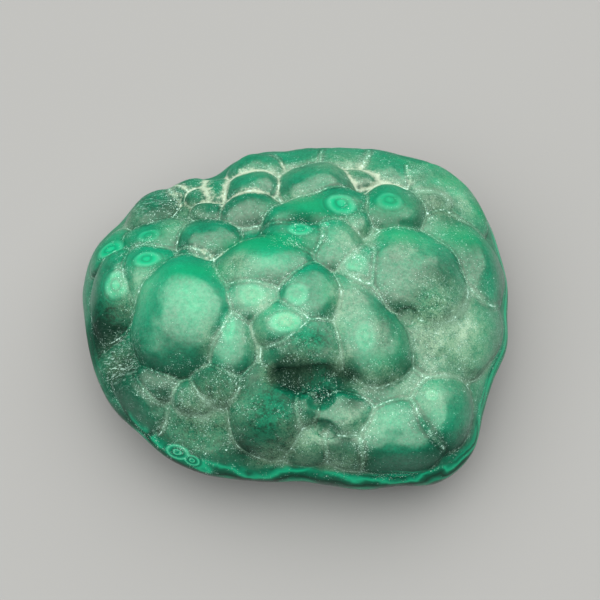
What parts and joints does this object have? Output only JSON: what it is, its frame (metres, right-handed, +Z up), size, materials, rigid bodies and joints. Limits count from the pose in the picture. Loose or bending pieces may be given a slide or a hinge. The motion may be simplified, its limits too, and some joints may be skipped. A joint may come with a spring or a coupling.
{
  "type": "malachite specimen",
  "caption": "Hand-sized botryoidal malachite stone with rounded growth lumps on a domed crown, a ground rim and a flat base.",
  "frame": {"origin": "centre of the stone's extents in plan, on the flat base it rests on", "axes": "+X along the stone's length, +Y along its width, away from the side with the low hollow, +Z up through the lumps"},
  "size_m": [0.0692, 0.0602, 0.0268],
  "materials": {
    "malachite": "polished green banded stone, satin on the lumps, glossy on the ground rim"
  },
  "bodies": {
    "root": {"malachite": "malachite"}
  },
  "joints": []
}
